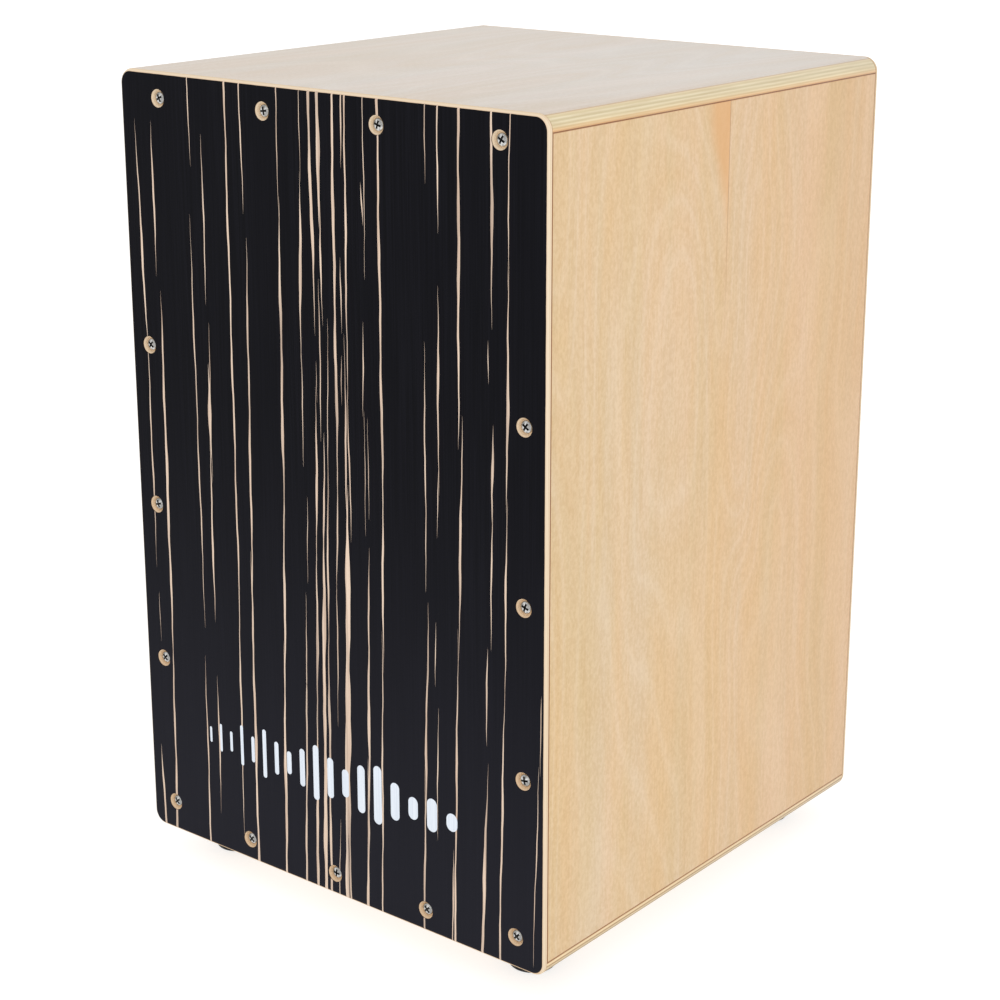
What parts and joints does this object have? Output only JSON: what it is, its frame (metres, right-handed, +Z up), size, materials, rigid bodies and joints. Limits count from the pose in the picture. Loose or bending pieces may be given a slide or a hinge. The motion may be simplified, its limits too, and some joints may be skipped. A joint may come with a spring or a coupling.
{
  "type": "cajon",
  "caption": "Full-size plywood box drum to sit on and play by hand, with a thin striking plate, a rear sound hole and a turning snare bar inside.",
  "frame": {"origin": "on the floor under the middle of the box", "axes": "+Z up, -Y out of the front (striking) plate, +X to the right as seen from the front"},
  "size_m": [0.31, 0.318, 0.488],
  "materials": {
    "seat_birch": "satin clear lacquer on pale birch plywood",
    "birch": "satin clear lacquer on birch plywood, vertical grain",
    "softwood": "bare planed softwood",
    "black_veneer": "satin black veneer with pale streaks along the grain",
    "print": "thin matt white print",
    "zinc_steel": "bright zinc plate",
    "snare_steel": "bright spring steel",
    "brass": "turned brass",
    "rubber": "matt black rubber"
  },
  "bodies": {
    "cabinet": {"back_panel": "birch", "bottom_board": "birch", "foot_front_left": "rubber", "foot_front_right": "rubber", "foot_rear_left": "rubber", "foot_rear_right": "rubber", "foot_screw_front_left": "zinc_steel", "foot_screw_front_right": "zinc_steel", "foot_screw_rear_left": "zinc_steel", "foot_screw_rear_right": "zinc_steel", "foot_washer_front_left": "zinc_steel", "foot_washer_front_right": "zinc_steel", "foot_washer_rear_left": "zinc_steel", "foot_washer_rear_right": "zinc_steel", "front_batten_bottom": "softwood", "front_batten_left": "softwood", "front_batten_right": "softwood", "front_batten_top": "softwood", "front_plate": "black_veneer", "front_screw_bottom_1": "zinc_steel", "front_screw_bottom_2": "zinc_steel", "front_screw_bottom_3": "zinc_steel", "front_screw_bottom_4": "zinc_steel", "front_screw_bottom_5": "zinc_steel", "front_screw_left_1": "zinc_steel", "front_screw_left_2": "zinc_steel", "front_screw_left_3": "zinc_steel", "front_screw_right_1": "zinc_steel", "front_screw_right_2": "zinc_steel", "front_screw_right_3": "zinc_steel", "front_screw_top_1": "zinc_steel", "front_screw_top_2": "zinc_steel", "front_screw_top_3": "zinc_steel", "front_screw_top_4": "zinc_steel", "glue_block_bottom_left": "softwood", "glue_block_bottom_right": "softwood", "glue_block_top_left": "softwood", "glue_block_top_right": "softwood", "left_side_panel": "birch", "right_side_panel": "birch", "seat_board": "seat_birch", "snare_bracket_left": "softwood", "snare_bracket_right": "softwood", "snare_bracket_screw_left_1": "zinc_steel", "snare_bracket_screw_left_2": "zinc_steel", "snare_bracket_screw_right_1": "zinc_steel", "snare_bracket_screw_right_2": "zinc_steel", "wing_screw_insert": "brass"},
    "snare_bar": {"snare_dowel": "softwood", "snare_wires_left": "snare_steel", "snare_wires_centre": "snare_steel", "snare_wires_right": "snare_steel", "snare_screw_left_1": "zinc_steel", "snare_screw_left_2": "zinc_steel", "snare_screw_centre_1": "zinc_steel", "snare_screw_centre_2": "zinc_steel", "snare_screw_right_1": "zinc_steel", "snare_screw_right_2": "zinc_steel"},
    "wing_screw": {"wing_screw": "zinc_steel"}
  },
  "joints": [
    {"name": "snare_swing", "type": "hinge", "parent": "cabinet", "child": "snare_bar", "pos_m": [0, -0.143, 0.303], "axis": [-1, 0, 0], "range_deg": [0, 25]},
    {"name": "wing_screw_turn", "type": "hinge", "parent": "cabinet", "child": "wing_screw", "pos_m": [0.119, -0.118, 0.303], "axis": [0, 1, 0], "range_deg": [0, 360]}
  ]
}
